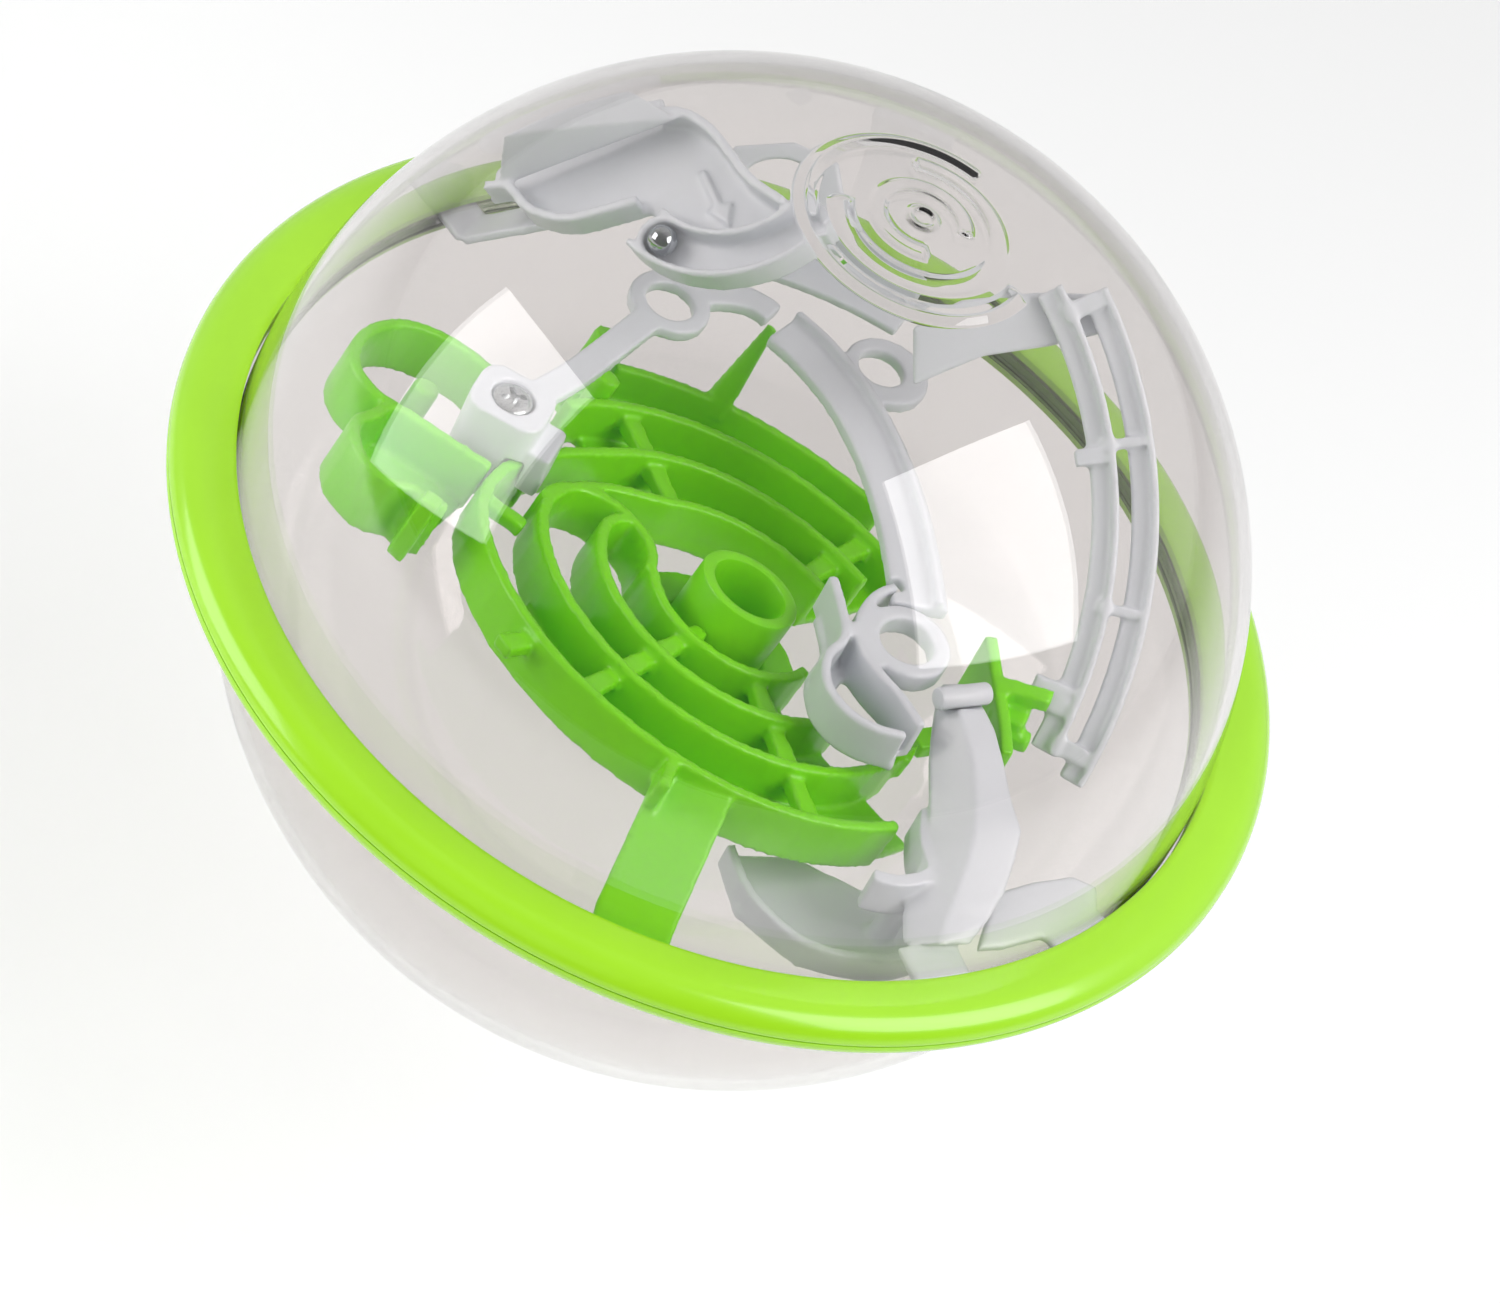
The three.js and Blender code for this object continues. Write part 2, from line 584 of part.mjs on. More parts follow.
// ---- Rim plate and low ramp: white pieces low on the right, by the ring ----
const rimFootStart = 72.7; // radius at which the plate's foot begins
const rimPlate = outline(
  [[59.5, -36], [64, -30], [69.5, -24.5], [73.5, -24], [74.5, -27.5], [71, -36], [64, -45],
    [60.5, -48], [60, -42]],
  footBottom, footBottom + footThickness);
const rimFoot = footTongue(feet.rimPlate, rimFootStart);
addPiece(object, "rim_plate", join(rimPlate, rimFoot).subtract(beamSweep(gap)), white);
const rampLevel = -12;
const lowRamp = join(
  outline([[20, -44], [30, -37], [42, -36], [53, -33], [58, -41], [50, -51], [38, -56], [26, -53]],
    rampLevel - 1.6, rampLevel),
  wall(splinePath([[20.5, -45], [27, -52], [38, -55], [49.5, -50], [56.5, -41.5]], 16), 1.6,
    rampLevel - 1, rampLevel + 4),
  extrude(ringShape(2.2, 0, 47.5, -43), rampLevel - 1, hookBottom - gap, 6),
);
addPiece(object, "low_ramp", lowRamp, white);

// ---- Rail pair: two curved strips with raised lips, tied by rungs ----
const railBottom = -railThickness / 2;
const railTop = railThickness / 2;
const outerRail = railRadius + railSpacing;
function rail(outside, from, to) {
  return [
    wall(arcPath(outside - railWidth / 2, from, to, 22, railCentre), railWidth, railBottom, railTop),
    wall(arcPath(outside - lipWidth / 2, from, to, 22, railCentre), lipWidth, railTop - 0.2,
      railTop + lipHeight),
  ];
}
function railRung(angle, width) {
  const spot = [polar(railRadius - 2, angle, railCentre), polar(outerRail - 2, angle, railCentre)];
  return wall(spot, width, railTop - 0.3, railTop + 1.2);
}
const lowNub = { angle: 5.5, reach: 4, width: 5 };
function railNub(angle, reach, width, margin = 0) {
  const inner = railRadius - railWidth - reach;
  return wall([polar(inner, angle, railCentre), polar(railRadius - 2, angle, railCentre)], width,
    railBottom - margin, railTop + 1 + margin);
}
const rails = join(
  rail(railRadius, -1, 57), rail(outerRail, -2.5, 54.5), railRung(53.5, 3), railRung(37, 1.8),
  railRung(17.6, 1.8), railRung(0.5, 3), railNub(36, 2.2, 2.8),
  railNub(lowNub.angle, lowNub.reach, lowNub.width));
addPiece(railGroup, "rail_pair", rails, white);
const linkPlate = outline(
  [[11, 40], [18.5, 49.5], [27, 56], [33.5, 62], [29.5, 67], [21, 62.5], [11, 55.5], [6.5, 48]],
  railBottom - gap - 1.8, railBottom - gap);
addPiece(railGroup, "link_plate", linkPlate, white);

// ---- Fork post: green upright with prongs that holds the lower end of the rails ----
const forkBody = join(
  wall(splinePath([[41.3, 9.3], [45.2, 1.5], [49.2, -6.5], [51.7, -12.5]], 10), 2.2, -8, 6.5),
  bar([45.2, 0.6, 5.2], [54.5, 1.6, 7.2], 3, 2.8),
  bar([48, -3.5, 0.5], [54.5, -3.3, 1.5], 3, 2.8),
  bar([46.5, -1, 2.5], [52.5, -1, 3.5], 6, 2.6),
  bar([46.6, 0, -5.5], [38.5, -9, -5.5], 4, 3),
);
const railRoom = railWidth + 2 * gap;
const railClear = join(
  wall(arcPath(railRadius - railWidth / 2, -4, 57, 22, railCentre), railRoom, railBottom - gap, 6),
  wall(arcPath(outerRail - railWidth / 2, -4, 57, 22, railCentre), railRoom, railBottom - gap, 6),
  railNub(lowNub.angle, lowNub.reach + gap, lowNub.width + 2 * gap, gap))
  .transform(new THREE.Matrix4().makeRotationFromEuler(railTilt).toArray());
const forkPost = forkBody.subtract(beamSweep(gap)).subtract(railClear);
addPiece(object, "fork_post", forkPost, green);

// ---- Back track: a channel that follows the far side from the start track to the rails ----
const backPlateDepth = -28;
const backWindow = extrude(ringShape(1), backPlateDepth - 5, backPlateDepth + 5)
  .scale([5.8, 3.6, 1]).rotate([0, 0, 28.9]).translate([-24.8, 60.6, 0]);
const backPlate = outline(
  [[-34, 62], [-25.5, 67.5], [-17.5, 68], [-11.5, 60.5], [-17, 55.5], [-26.5, 51.8], [-32, 56]],
  backPlateDepth - 0.9, backPlateDepth + 0.9)
  .subtract(backWindow)
  .transform(new THREE.Matrix4().makeRotationFromEuler(railTilt).toArray());
const backTop = polar(70, feet.backTrack.angle);
const backLow = polar(domeInside - 4, feet.backTrack.angle);
const backTrack = join(
  wall(arcPath(70, 86, 114, 10), 1.8, 7, 14),
  wall(arcPath(65.5, 86, 114, 10), 9, 7, 8.6),
  backPlate,
  bar([-18, 59.3, 20.8], [-19.5, 64.5, 7.8], 7, 1.8),
  bar([backTop.x, backTop.y, 9], [backLow.x, backLow.y, footBottom + footThickness / 2],
    feet.backTrack.width, footThickness),
  footTongue(feet.backTrack, domeInside - 5),
);
addPiece(object, "back_track", backTrack, white);

// ---- Start track: the platform, and the curved channel in which the ball waits ----
const channelFloor = -(ballRadius + 0.3);
const channelHalf = ballRadius + ballPlay;
const channelCentre = polar(-channelRadius, channelStart).toArray();
const channelFrom = channelStart - 12;
const channelTo = channelStart + channelSweep + 12;
const channelWallHeight = 1.2;
function channelArc(radius) {
  return arcPath(radius, channelFrom, channelTo, 14, channelCentre);
}
const platformEdge = [[-35, -3], [-31, -1], [-25, -4], [-18, -3], [-12, 1], [-8, 5], [-3, 3.4],
  [4, 3], [12, 6], [17, 12], [10, 14], [4, 17], [-4, 20], [-8, 21], [-12, 20], [-17, 25], [-27, 21],
  [-37, 9], [-37, 2]];
const platformFloor = channelFloor - floorThickness;
const startWalls = [
  wall(channelArc(channelRadius + channelHalf + channelWall / 2), channelWall, platformFloor,
    channelWallHeight),
  wall(channelArc(channelRadius - channelHalf - channelWall / 2), channelWall, platformFloor,
    channelWallHeight),
  wall(channelArc(channelRadius), 2 * channelHalf + 1, platformFloor, channelFloor),
  extrude(ringShape(channelHalf + channelWall), platformFloor, channelWallHeight, 9),
  outline(platformEdge, platformFloor, channelFloor),
  wall(splinePath([[17, 12.5], [10, 14], [4, 17], [-2, 20], [-8, 21], [-12.5, 19.5]], 12), 1.6,
    platformFloor, channelFloor + 5),
  wall(splinePath([[-35, -2], [-31, -0.5], [-25, -3], [-18, -2.4], [-12, 1.4], [-7.5, 4.8]], 14), 1.6,
    platformFloor, channelFloor + 4),
];
const ballRoom = [
  wall(arcPath(channelRadius, channelStart, channelTo + 10, 14, channelCentre), 2 * channelHalf,
    channelFloor, 10),
  extrude(ringShape(channelHalf), channelFloor, 10, 9),
];
const startMatrix = new THREE.Matrix4().makeRotationFromEuler(startTilt).setPosition(startCentre);
const intoStart = startMatrix.clone().invert().toArray();
const inside = solid(new THREE.SphereGeometry(domeInside - domeFlats, 64, 48)).transform(intoStart);
// A corner plate that folds up from the platform's far edge to the dome.
const cornerPlate = wasm.Manifold.hull(
  [[-63.7, 36.1, 16], [-45.5, 47.3, 36.6], [-66.3, 33.3, 28.5], [-60.2, 40.7, 36.1],
    [-53.6, 44.7, 40.3], [-43, 44.5, 39.5]].flatMap(([x, y, z]) => [[x, y, z], [x, y + 1, z - 1]]),
).transform(intoStart);
const arrow = join(
  outline([[-2, 13.6], [-1, 14.3], [5.2, 9.6], [4.2, 8.8]], channelFloor - 0.2, channelFloor + 0.7),
  outline([[3, 7.9], [6.4, 10.9], [8.2, 6.8]], channelFloor - 0.2, channelFloor + 0.7),
);
const startTrack = join(startWalls, arrow, cornerPlate).subtract(join(ballRoom)).intersect(inside);
addPiece(startGroup, "start_track", startTrack, white);
const legTop = new THREE.Vector3(-20, 3, platformFloor - gap - 2.8).applyMatrix4(startMatrix);
const legLow = polar(domeInside - 4, feet.startLeg.angle);
const startLeg = join(
  bar(legTop.toArray(), [legLow.x, legLow.y, footBottom + footThickness / 2], feet.startLeg.width,
    footThickness),
  footTongue(feet.startLeg, domeInside - 5),
);
addPiece(object, "start_leg", startLeg, white);

const ball = solid(new THREE.SphereGeometry(ballRadius, 16, 12));
addPiece(startGroup, "ball", ball, steel);

export default object;
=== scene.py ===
import json
import math

import bpy
from mathutils import Matrix, Vector

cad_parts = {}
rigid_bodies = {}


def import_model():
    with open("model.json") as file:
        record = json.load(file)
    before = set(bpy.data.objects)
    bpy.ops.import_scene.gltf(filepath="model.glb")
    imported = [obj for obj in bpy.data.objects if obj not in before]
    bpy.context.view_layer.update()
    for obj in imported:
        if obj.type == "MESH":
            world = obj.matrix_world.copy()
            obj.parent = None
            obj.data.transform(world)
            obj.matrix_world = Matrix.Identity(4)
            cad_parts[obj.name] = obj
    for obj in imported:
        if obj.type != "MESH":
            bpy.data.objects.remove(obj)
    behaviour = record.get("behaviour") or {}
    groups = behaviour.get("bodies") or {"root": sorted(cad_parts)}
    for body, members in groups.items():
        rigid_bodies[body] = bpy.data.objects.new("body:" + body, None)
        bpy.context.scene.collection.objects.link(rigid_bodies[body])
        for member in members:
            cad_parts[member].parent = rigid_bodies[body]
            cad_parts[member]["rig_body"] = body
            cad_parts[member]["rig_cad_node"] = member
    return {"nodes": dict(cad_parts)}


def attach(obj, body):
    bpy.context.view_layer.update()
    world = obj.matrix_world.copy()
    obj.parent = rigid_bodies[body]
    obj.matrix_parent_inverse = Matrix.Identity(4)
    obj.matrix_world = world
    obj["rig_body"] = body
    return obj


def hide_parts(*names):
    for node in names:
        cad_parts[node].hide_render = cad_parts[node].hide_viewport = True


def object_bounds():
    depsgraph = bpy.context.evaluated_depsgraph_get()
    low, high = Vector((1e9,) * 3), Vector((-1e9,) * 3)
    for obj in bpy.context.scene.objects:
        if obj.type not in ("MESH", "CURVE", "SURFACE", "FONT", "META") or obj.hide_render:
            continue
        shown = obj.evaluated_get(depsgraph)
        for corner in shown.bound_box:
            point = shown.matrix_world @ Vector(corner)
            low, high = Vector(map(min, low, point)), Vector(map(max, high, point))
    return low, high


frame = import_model()
cad_box = [list(corner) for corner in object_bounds()]
bpy.ops.object.select_all(action="DESELECT")

# ---- Camera and studio ----------------------------------------------------------------------
# A long lens looks down on the tilted maze. Two square soft boxes mirror in the clear dome, a
# bounced light that does not mirror fills in, and the room is white behind and dark in front.
camera_right = Vector((0.87527, 0.33660, 0.34727))
camera_up = Vector((-0.48363, 0.60918, 0.62849))
camera_back = Vector((0.0, -0.71805, 0.69599))
bpy.ops.object.camera_add(location=(0.00876, -0.67231, 0.63793))
camera = bpy.context.active_object
camera.rotation_euler = Matrix((camera_right, camera_up, camera_back)).transposed().to_euler()
camera.data.lens = 139.8  # mm, as is the sensor
camera.data.sensor_width = 36
bpy.context.scene.camera = camera
bpy.context.scene.view_settings.view_transform = "Standard"


def linear(hex_colour):
    """An sRGB hex colour as the linear RGBA that shaders take."""
    channels = [int(hex_colour[i:i + 2], 16) / 255 for i in (1, 3, 5)]
    return [c / 12.92 if c <= 0.04045 else ((c + 0.055) / 1.055) ** 2.4 for c in channels] + [1.0]


def add_node(tree, kind, settings=None, links=None, values=None):
    """Adds a node with its settings, the sockets that feed its inputs, and its input values."""
    node = tree.nodes.new(kind)
    for name, value in (settings or {}).items():
        setattr(node, name, value)
    for name, value in (values or {}).items():
        node.inputs[name].default_value = value
    for name, socket in (links or {}).items():
        tree.links.new(socket, node.inputs[name])
    return node


def empty_material(name):
    """A material whose node tree is empty, and that tree."""
    material = bpy.data.materials.new(name)
    material.use_nodes = True
    material.node_tree.nodes.clear()
    return material, material.node_tree


world = bpy.data.worlds.new("white_backdrop")
world.use_nodes = True
tree = world.node_tree
tree.nodes.clear()
place = add_node(tree, "ShaderNodeTexCoord")
axes = add_node(tree, "ShaderNodeSeparateXYZ", links={"Vector": place.outputs["Generated"]})
fade = add_node(tree, "ShaderNodeMapRange", settings={"interpolation_type": "SMOOTHSTEP"},
                links={"Value": axes.outputs["Y"]},
                values={"From Min": -0.5, "From Max": 0.6, "To Min": 0.14, "To Max": 0.75})
backdrop = add_node(tree, "ShaderNodeBackground", links={"Strength": fade.outputs["Result"]},
                    values={"Color": linear("#ffffff")})
add_node(tree, "ShaderNodeOutputWorld", links={"Surface": backdrop.outputs["Background"]})
bpy.context.scene.world = world

lamp_distance = 1.0
lamps = {
    "soft_box_left": {"towards": (-0.907, -0.275, 0.316), "across": (0.44, -0.756, 0.483),
                      "side": 0.66, "power": 5.5, "mirrored": True},
    "soft_box_right": {"towards": (0.701, -0.085, 0.708), "across": (0.407, 0.891, -0.202),
                       "side": 0.72, "power": 7.5, "mirrored": True},
    "bounced_fill": {"towards": (-0.15, -0.75, 0.64), "across": (0.98, -0.196, 0),
                     "side": 0.8, "power": 4, "mirrored": False},
}
for name, setup in lamps.items():
    towards = Vector(setup["towards"]).normalized()
    upright = towards.cross(Vector(setup["across"])).normalized()
    across = upright.cross(towards)
    bpy.ops.object.light_add(type="AREA", location=towards * lamp_distance)
    lamp = bpy.context.active_object
    lamp.name = name
    lamp.rotation_euler = Matrix((across, upright, towards)).transposed().to_euler()
    lamp.data.shape = "SQUARE"
    lamp.data.size = setup["side"]
    lamp.data.energy = setup["power"]
    lamp.visible_glossy = setup["mirrored"]
    lamp.visible_transmission = setup["mirrored"]

floor_side = 6
floor_drop = 0.06
bpy.ops.mesh.primitive_plane_add(size=floor_side, location=(0, 0, cad_box[0][2] - floor_drop))
floor = bpy.context.active_object
floor.name = "floor"
paper, tree = empty_material("matt_white_paper")
place = add_node(tree, "ShaderNodeTexCoord")
grain = add_node(tree, "ShaderNodeTexNoise", links={"Vector": place.outputs["Object"]},
                 values={"Scale": 900, "Detail": 3})
bump = add_node(tree, "ShaderNodeBump", links={"Height": grain.outputs["Fac"]},
                values={"Strength": 0.05, "Distance": 0.0003})
shade = add_node(tree, "ShaderNodeBsdfPrincipled", links={"Normal": bump.outputs["Normal"]},
                 values={"Base Color": linear("#f6f6f6"), "Roughness": 0.9})
add_node(tree, "ShaderNodeOutputMaterial", links={"Surface": shade.outputs["BSDF"]})
floor.data.materials.append(paper)

# ---- Clear domes: upper_dome, lower_dome ----------------------------------------------------
# Two hemispheres injection-moulded in clear polystyrene, each with a flange at its rim that the
# grip ring clamps. The upper one carries a plain raised motif on its top.
gap = 0.0003
dome_radius = 0.0825
dome_wall = 0.0018
flange_reach = 0.0035
flange_height = 0.0016
dome_turns = 288
ring_turns = 256
inside_steps = 60
outside_steps = 110
top_crowding = 1.6  # above 1, the points of the dome's arc draw together towards its top
motif_lowest = 0.07  # the height above which the dome's outside can carry the motif
motif_rise = 0.0005
motif_dot = 0.0014
motif_half_line = 0.0004
motif_half_pair = 0.00065  # each line of the motif is a pair of fine ridges
motif_rings = [
    {"radius": 0.007, "from": 20, "to": 290},
    {"radius": 0.0125, "from": 200, "to": 470},
    {"radius": 0.018, "from": 80, "to": 350},
]


def spun(name, profile, turns):
    """A closed solid turned about Z from a profile of (radius, height) points."""
    mesh = bpy.data.meshes.new(name)
    edges = [(i, i + 1) for i in range(len(profile) - 1)]
    mesh.from_pydata([(r, 0, z) for r, z in profile], edges, [])
    piece = bpy.data.objects.new(name, mesh)
    bpy.context.scene.collection.objects.link(piece)
    bpy.ops.object.select_all(action="DESELECT")
    bpy.context.view_layer.objects.active = piece
    piece.select_set(True)
    bpy.ops.object.mode_set(mode="EDIT")
    bpy.ops.mesh.select_all(action="SELECT")
    bpy.ops.mesh.spin(steps=turns, angle=2 * math.pi, center=(0, 0, 0), axis=(0, 0, 1))
    bpy.ops.mesh.select_all(action="SELECT")
    bpy.ops.mesh.remove_doubles(threshold=1e-6)
    bpy.ops.mesh.normals_make_consistent(inside=False)
    bpy.ops.object.mode_set(mode="OBJECT")
    bpy.ops.object.shade_smooth_by_angle(angle=math.radians(35))
    return piece


def turned_over(piece, name):
    """A copy of a piece, turned half a turn about X."""
    lower = piece.copy()
    lower.data = piece.data.copy()
    lower.name = name
    bpy.context.scene.collection.objects.link(lower)
    lower.data.transform(Matrix.Rotation(math.pi, 4, "X"))
    return lower


def finished(piece, material, node, body="maze"):
    """Gives a piece its material and its body, and hides the CAD node whose place it takes."""
    piece.data.materials.clear()
    piece.data.materials.append(material)
    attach(piece, body)
    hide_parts(node)


def dome_arc(radius, from_height, steps):
    """Points from a height on the sphere up to its top, closer together near the top."""
    start = math.asin(from_height / radius)
    points = []
    for i in range(steps + 1):
        angle = start + (math.pi / 2 - start) * (1 - (1 - i / steps) ** top_crowding)
        points.append((radius * math.cos(angle) if i < steps else 0.0, radius * math.sin(angle)))
    return points


def motif_height(place):
    """How much of the motif's full rise a point on the dome's outside has, from 0 to 1."""
    radius = math.hypot(place.x, place.y)
    best = radius - motif_dot
    for ring in motif_rings:
        turn = math.degrees(math.atan2(place.y, place.x))
        while turn < ring["from"]:
            turn += 360
        if turn <= ring["to"]:
            best = min(best, abs(radius - ring["radius"]))
        for end in (ring["from"], ring["to"]):
            tip = Vector((ring["radius"] * math.cos(math.radians(end)),
                          ring["radius"] * math.sin(math.radians(end))))
            best = min(best, (Vector((place.x, place.y)) - tip).length)
    off_ridge = abs(max(best, 0) - motif_half_pair)
    share = min(max((motif_half_line * 1.5 - off_ridge) / motif_half_line, 0), 1)
    return share * share * (3 - 2 * share)


flange_top = gap / 2 + flange_height
inside_radius = dome_radius - dome_wall
flange_radius = dome_radius + flange_reach
soft = 0.0002
dome_profile = (
    dome_arc(inside_radius, gap / 2, inside_steps)[::-1]
    + [(flange_radius - soft, gap / 2), (flange_radius, gap / 2 + soft),
       (flange_radius, flange_top - soft), (flange_radius - soft, flange_top)]
    + dome_arc(dome_radius, flange_top, outside_steps)
)
upper_dome = spun("clear_dome_upper", dome_profile, dome_turns)
lower_dome = turned_over(upper_dome, "clear_dome_lower")
for vertex in upper_dome.data.vertices:
    if vertex.co.length > dome_radius - 1e-5 and vertex.co.z > motif_lowest:
        vertex.co += vertex.co.normalized() * motif_rise * motif_height(vertex.co)

clear_plastic, tree = empty_material("clear_polystyrene_moulding")
place = add_node(tree, "ShaderNodeTexCoord")
flow = add_node(tree, "ShaderNodeTexNoise", links={"Vector": place.outputs["Object"]},
                values={"Scale": 22, "Detail": 2})
bump = add_node(tree, "ShaderNodeBump", links={"Height": flow.outputs["Fac"]},
                values={"Strength": 0.15, "Distance": 0.0004})
body = add_node(tree, "ShaderNodeBsdfPrincipled", links={"Normal": bump.outputs["Normal"]},
                values={"Base Color": linear("#ece9e8"), "Roughness": 0.01, "IOR": 1.49,
                        "Transmission Weight": 1.0})
open_to_lamps = add_node(tree, "ShaderNodeBsdfTransparent", values={"Color": linear("#f3f1f1")})
rays = add_node(tree, "ShaderNodeLightPath")
mix = add_node(tree, "ShaderNodeMixShader", links={"Fac": rays.outputs["Is Shadow Ray"]})
tree.links.new(body.outputs["BSDF"], mix.inputs[1])
tree.links.new(open_to_lamps.outputs["BSDF"], mix.inputs[2])
add_node(tree, "ShaderNodeOutputMaterial", links={"Surface": mix.outputs["Shader"]})
finished(upper_dome, clear_plastic, "upper_dome")
finished(lower_dome, clear_plastic, "lower_dome")

# ---- Grip ring: grip_ring_upper, grip_ring_lower --------------------------------------------
# Two glossy lime ABS mouldings with a fully rounded outer edge, snapped together round the
# flanges of the domes. The player holds and turns the ball by them.
ring_reach = 0.0105
ring_half_height = 0.0042
ring_inner = dome_radius + gap
ring_shoulder = 0.0036
ring_radius = dome_radius + ring_reach
ring_crown = ring_radius - 0.0049
seam = 0.0001
edge_arc = [
    (ring_crown + (ring_radius - ring_crown) * math.cos(math.radians(a)),
     seam + (ring_half_height - seam) * math.sin(math.radians(a)))
    for a in range(0, 91, 6)
]
ring_profile = (
    [(flange_radius + gap, seam), (ring_radius - 0.0002, seam)]
    + edge_arc[1:]
    + [(ring_crown - 0.0012, ring_half_height - 0.00002),
       (ring_inner + 0.0012, ring_shoulder + 0.0002), (ring_inner + 0.0004, ring_shoulder),
       (ring_inner + 0.0001, ring_shoulder - 0.0003), (ring_inner, flange_top + gap),
       (flange_radius + gap, flange_top + gap), (flange_radius + gap, seam)]
)


def moulded_plastic(name, colour, shadow_colour, roughness, coat):
    """Injection-moulded ABS: an even colour with faint flow marks and a fine tool grain."""
    material, tree = empty_material(name)
    place = add_node(tree, "ShaderNodeTexCoord")
    flow = add_node(tree, "ShaderNodeTexNoise", links={"Vector": place.outputs["Object"]},
                    values={"Scale": 35, "Detail": 3, "Distortion": 0.6})
    tint = add_node(tree, "ShaderNodeMix", settings={"data_type": "RGBA"})
    tree.links.new(flow.outputs["Fac"], tint.inputs["Factor"])
    tint.inputs[6].default_value = linear(shadow_colour)
    tint.inputs[7].default_value = linear(colour)
    grain = add_node(tree, "ShaderNodeTexNoise", links={"Vector": place.outputs["Object"]},
                     values={"Scale": 2500, "Detail": 2})
    bump = add_node(tree, "ShaderNodeBump", links={"Height": grain.outputs["Fac"]},
                    values={"Strength": 0.06, "Distance": 0.00005})
    gloss = add_node(tree, "ShaderNodeMapRange", links={"Value": flow.outputs["Fac"]},
                     values={"To Min": roughness - 0.04, "To Max": roughness + 0.05})
    shade = add_node(tree, "ShaderNodeBsdfPrincipled",
                     links={"Base Color": tint.outputs[2], "Normal": bump.outputs["Normal"],
                            "Roughness": gloss.outputs["Result"]},
                     values={"IOR": 1.5, "Coat Weight": coat, "Coat Roughness": 0.08})
    add_node(tree, "ShaderNodeOutputMaterial", links={"Surface": shade.outputs["BSDF"]})
    return material


lime_plastic = moulded_plastic("lime_abs_gloss", "#9edb1e", "#97d21a", 0.24, 0.3)
ring_upper = spun("grip_ring_top_half", ring_profile, ring_turns)
ring_lower = turned_over(ring_upper, "grip_ring_bottom_half")
finished(ring_upper, lime_plastic, "grip_ring_upper")
finished(ring_lower, lime_plastic, "grip_ring_lower")

# ---- Spiral tray: spiral_tray ---------------------------------------------------------------
# The green heart of the maze: one satin ABS moulding of spiral walls on a thin floor, tied by
# rungs, with a lug for the screw and a strut down into the grip ring. Every edge is rounded.
voxel = 0.00045
most_triangles = 190000


def softened(node, name):
    """A CAD piece as it leaves the mould: its edges and corners rounded."""
    piece = frame["nodes"][node].copy()
    piece.data = piece.data.copy()
    piece.name = name
    piece.parent = None
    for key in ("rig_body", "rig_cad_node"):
        if key in piece:
            del piece[key]
    bpy.context.scene.collection.objects.link(piece)
    bpy.ops.object.select_all(action="DESELECT")
    piece.select_set(True)
    bpy.context.view_layer.objects.active = piece
    bpy.ops.object.mode_set(mode="EDIT")
    bpy.ops.mesh.select_all(action="SELECT")
    bpy.ops.mesh.remove_doubles(threshold=1e-5)
    bpy.ops.object.mode_set(mode="OBJECT")
    remesh = piece.modifiers.new("skin", "REMESH")
    remesh.mode = "VOXEL"
    remesh.voxel_size = voxel
    bpy.ops.object.modifier_apply(modifier="skin")
    smooth = piece.modifiers.new("round", "SMOOTH")
    smooth.factor = 0.5
    smooth.iterations = 5
    bpy.ops.object.modifier_apply(modifier="round")
    triangles = sum(len(face.vertices) - 2 for face in piece.data.polygons)
    if triangles > most_triangles:
        thin = piece.modifiers.new("thin", "DECIMATE")
        thin.ratio = most_triangles / triangles
        bpy.ops.object.modifier_apply(modifier="thin")
    bpy.ops.object.shade_smooth()
    return piece


green_plastic = moulded_plastic("green_abs_satin", "#7cd90e", "#70cb0a", 0.34, 0.05)
finished(softened("spiral_tray", "tray_moulding"), green_plastic, "spiral_tray")

# ---- Centre cup: centre_cup -----------------------------------------------------------------
# The goal: a green ABS tube with a rounded lip and a closed bottom. It is moulded apart from the
# tray and stands in a hole at its middle.
cup_radius = 0.0087
cup_bore = 0.0064
cup_rise = 0.0043
cup_floor = -0.004
cup_bottom = -0.0105
lip = 0.0005
tray_place = (Matrix.Translation((0.0035, -0.0067, 0))
              @ Matrix.Rotation(math.radians(-13.1), 4, "X")
              @ Matrix.Rotation(math.radians(6.9), 4, "Y"))
cup = spun("cup_moulding", [
    (0, cup_bottom), (cup_radius - lip, cup_bottom), (cup_radius, cup_bottom + lip),
    (cup_radius, cup_rise - lip), (cup_radius - 0.3 * lip, cup_rise - 0.3 * lip),
    (cup_radius - lip, cup_rise), (cup_bore + lip, cup_rise),
    (cup_bore + 0.3 * lip, cup_rise - 0.3 * lip), (cup_bore, cup_rise - lip),
    (cup_bore, cup_floor + lip), (cup_bore - lip, cup_floor), (0, cup_floor)], 96)
cup.data.transform(tray_place)
finished(cup, green_plastic, "centre_cup")

# ---- Clover track: clover_track -------------------------------------------------------------
# Green ABS loops of wavy wall at the left of the tray. They are moulded apart from it and sit at
# its lug, with no fastener in sight.
finished(softened("clover_track", "clover_moulding"), green_plastic, "clover_track")

# ---- Fork post: fork_post -------------------------------------------------------------------
# A green ABS upright at the right of the tray, moulded in one piece with its prongs, which take
# the lower end of the white rails.
finished(softened("fork_post", "fork_moulding"), green_plastic, "fork_post")

# ---- Screwed arm: screwed_arm ---------------------------------------------------------------
# A white ABS arm on a square post, with an eye the ball drops through. One screw down through
# the post holds it to the tray.
white_plastic = moulded_plastic("white_abs_satin", "#ccd0d5", "#c4c9ce", 0.32, 0.15)
finished(softened("screwed_arm", "arm_moulding"), white_plastic, "screwed_arm")

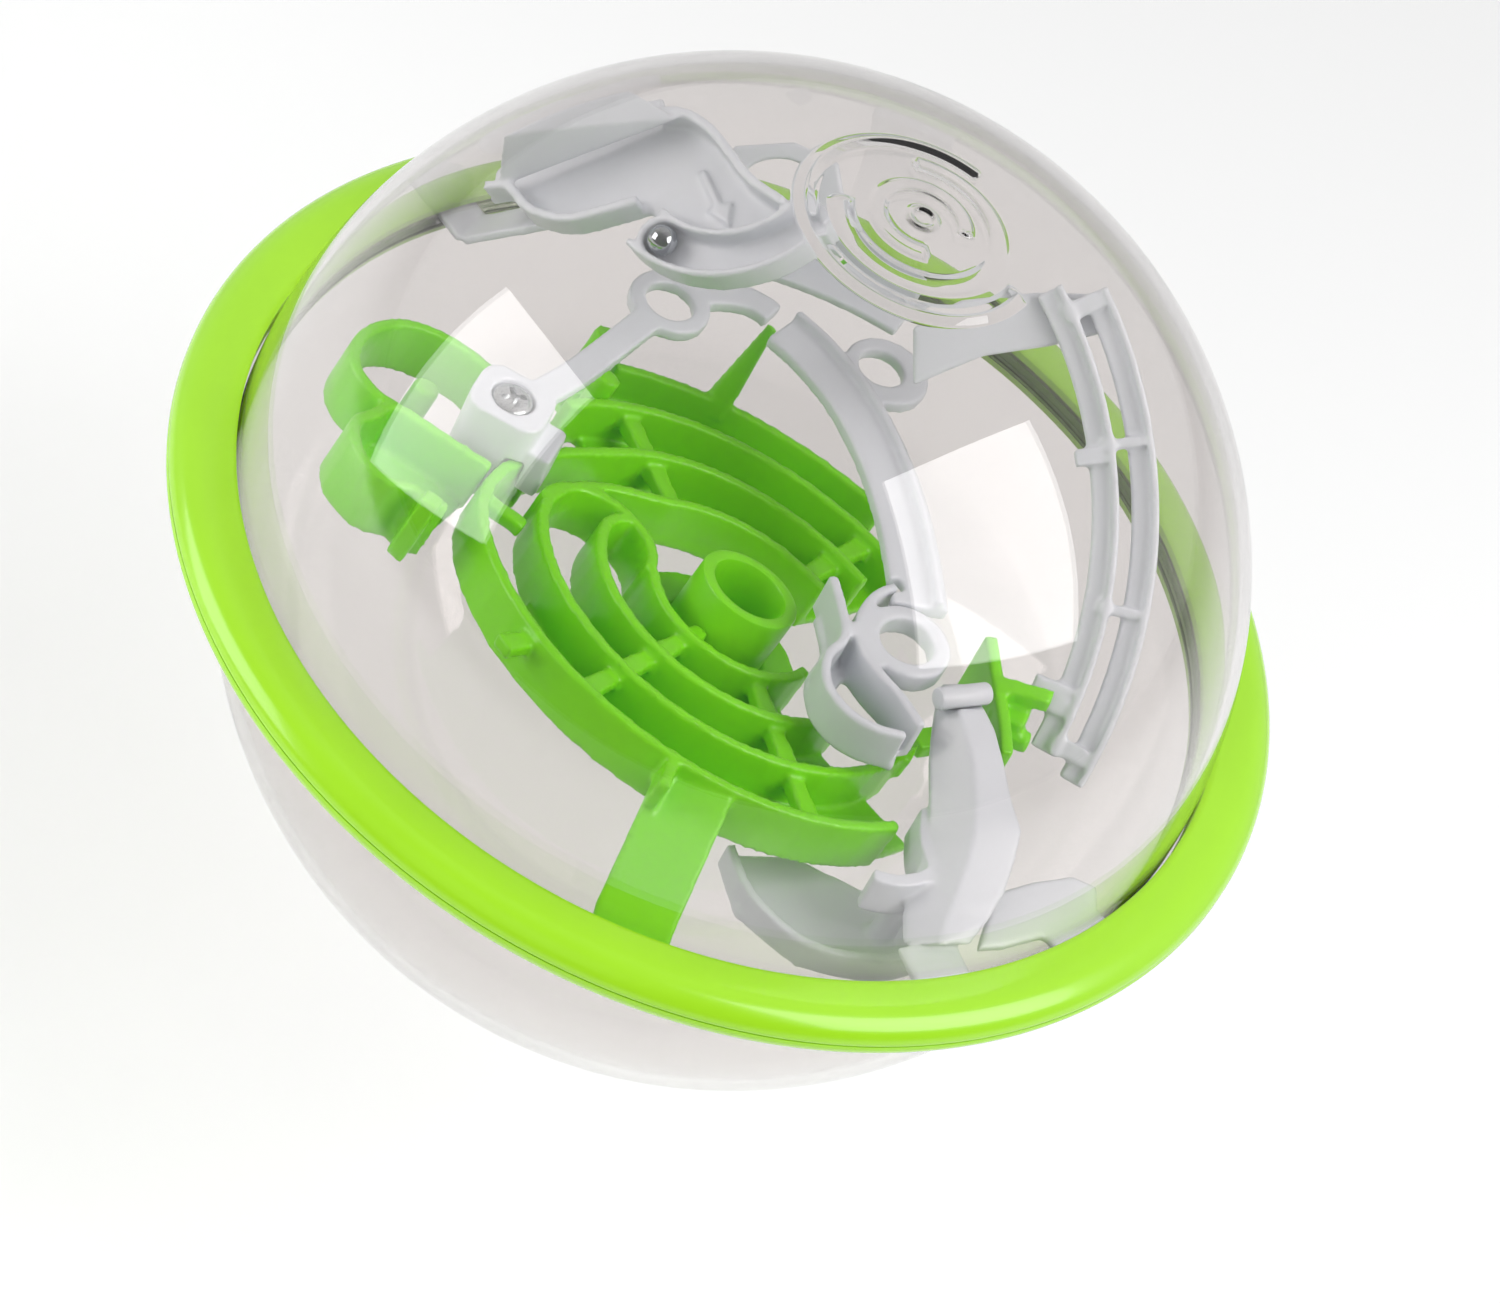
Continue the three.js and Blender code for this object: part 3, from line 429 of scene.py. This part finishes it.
# ---- Arm screw: arm_screw -------------------------------------------------------------------
# A nickel-plated pan-head self-tapping screw with a cross recess, sunk in the arm's post. It
# holds the arm down on the tray.
head_radius = 0.0034
head_depth = 0.0016
shank_radius = 0.0015
shank_length = 0.0159
screw_spot = Vector((-0.043, -0.003, 0.0132))
slit_size = (0.0042, 0.001, 0.0022, 1)  # half its height stands above the head
slit_turn = 35
screw = spun("pan_head_screw", [
    (0, -shank_length), (shank_radius * 0.5, -shank_length), (shank_radius, -shank_length + 0.0012),
    (shank_radius, -head_depth), (head_radius - 0.0001, -head_depth), (head_radius, -0.0014),
    (head_radius, -0.0009), (head_radius * 0.95, -0.00055), (head_radius * 0.84, -0.0003),
    (head_radius * 0.68, -0.00014), (head_radius * 0.45, -0.00004), (0, 0)], 96)
for turn in (0, 90):
    bpy.ops.object.select_all(action="DESELECT")
    bpy.ops.mesh.primitive_cube_add(size=1, location=(0, 0, 0))
    slit = bpy.context.active_object
    slit.data.transform(Matrix.Rotation(math.radians(turn + slit_turn), 4, "Z")
                        @ Matrix.Diagonal(slit_size))
    cut = screw.modifiers.new("recess", "BOOLEAN")
    cut.operation = "DIFFERENCE"
    cut.object = slit
    bpy.ops.object.select_all(action="DESELECT")
    screw.select_set(True)
    bpy.context.view_layer.objects.active = screw
    bpy.ops.object.modifier_apply(modifier="recess")
    bpy.data.objects.remove(slit)
bpy.ops.object.shade_smooth_by_angle(angle=math.radians(20))
screw.data.transform(Matrix.Translation(screw_spot))


def plated_steel(name, colour, roughness, wear_scale):
    """Bright steel: a metal with fine turning marks and a little uneven wear."""
    material, tree = empty_material(name)
    place = add_node(tree, "ShaderNodeTexCoord")
    wear = add_node(tree, "ShaderNodeTexNoise", links={"Vector": place.outputs["Object"]},
                    values={"Scale": wear_scale, "Detail": 4})
    gloss = add_node(tree, "ShaderNodeMapRange", links={"Value": wear.outputs["Fac"]},
                     values={"To Min": roughness * 0.7, "To Max": roughness * 1.4})
    bump = add_node(tree, "ShaderNodeBump", links={"Height": wear.outputs["Fac"]},
                    values={"Strength": 0.08, "Distance": 0.00002})
    shade = add_node(tree, "ShaderNodeBsdfPrincipled",
                     links={"Roughness": gloss.outputs["Result"], "Normal": bump.outputs["Normal"]},
                     values={"Base Color": linear(colour), "Metallic": 1.0})
    add_node(tree, "ShaderNodeOutputMaterial", links={"Surface": shade.outputs["BSDF"]})
    return material


finished(screw, plated_steel("nickel_plated_steel", "#c4c7c8", 0.2, 1800), "arm_screw")

# ---- Ridge track: ridge_track ---------------------------------------------------------------
# The broad white ABS band with a raised ridge that curves past the tray. The eye at its side is
# part of the same moulding.
finished(softened("ridge_track", "ridge_moulding"), white_plastic, "ridge_track")

# ---- Wave track: wave_track -----------------------------------------------------------------
# A white ABS loop of wavy walls round an eye. It is one moulding and stands above the right of
# the tray.
finished(softened("wave_track", "wave_moulding"), white_plastic, "wave_track")

# ---- Arched beam and its pin: arched_beam, cross_pin ----------------------------------------
# A roof-shaped white ABS beam that rises from the grip ring and hooks under the tray's end. A
# white pin with rounded ends lies in the saddle at its top.
pin_radius = 0.0018
pin_half = 0.00475
pin_spot = Vector((0.041, -0.0136, 0.0134))
finished(softened("arched_beam", "beam_moulding"), white_plastic, "arched_beam")
pin = spun("pin_moulding", [
    (0, -pin_half), (pin_radius - lip, -pin_half), (pin_radius - 0.3 * lip, -pin_half + 0.3 * lip),
    (pin_radius, -pin_half + lip), (pin_radius, pin_half - lip),
    (pin_radius - 0.3 * lip, pin_half - 0.3 * lip), (pin_radius - lip, pin_half),
    (0, pin_half)], 48)
pin.data.transform(Matrix.Translation(pin_spot) @ Matrix.Rotation(math.radians(45), 4, "Z")
                   @ Matrix.Rotation(math.radians(90), 4, "Y"))
finished(pin, white_plastic, "cross_pin")

# ---- Rails and their link: rail_pair, link_plate --------------------------------------------
# Two lipped white ABS rails tied by rungs, down which the ball runs on the right, and the plate
# under their upper end. Both are plain mouldings.
finished(softened("rail_pair", "rail_moulding"), white_plastic, "rail_pair")
finished(softened("link_plate", "link_moulding"), white_plastic, "link_plate")

# ---- Low pieces: rim_plate, low_ramp --------------------------------------------------------
# A flat white ABS plate whose foot is clamped in the grip ring, and a dished white ramp below
# the tray at the right. Both are plain mouldings.
finished(softened("rim_plate", "rim_moulding"), white_plastic, "rim_plate")
finished(softened("low_ramp", "ramp_moulding"), white_plastic, "low_ramp")

# ---- Start track and its supports: start_track, start_leg, back_track -----------------------
# The white ABS platform with the curved channel in which the ball waits, the sloping leg that
# carries it from the ring, and the far track with an oval window beside it.
finished(softened("start_track", "start_moulding"), white_plastic, "start_track")
finished(softened("start_leg", "leg_moulding"), white_plastic, "start_leg")
finished(softened("back_track", "back_moulding"), white_plastic, "back_track")

# ---- Ball: ball -----------------------------------------------------------------------------
# A loose ball of ground and polished chrome steel, about 5 mm across. It waits in the curved
# channel of the start track and rolls along it.
ball_radius = 0.0025
ball_spot = Vector((-0.0351, 0.0275, 0.03))
bpy.ops.object.select_all(action="DESELECT")
bpy.ops.mesh.primitive_uv_sphere_add(segments=64, ring_count=40, radius=ball_radius,
                                     location=(0, 0, 0))
ball = bpy.context.active_object
ball.name = "steel_ball"
ball.data.transform(Matrix.Translation(ball_spot))
bpy.ops.object.shade_smooth()
finished(ball, plated_steel("polished_chrome_steel", "#b9bdc1", 0.08, 900), "ball", "ball")
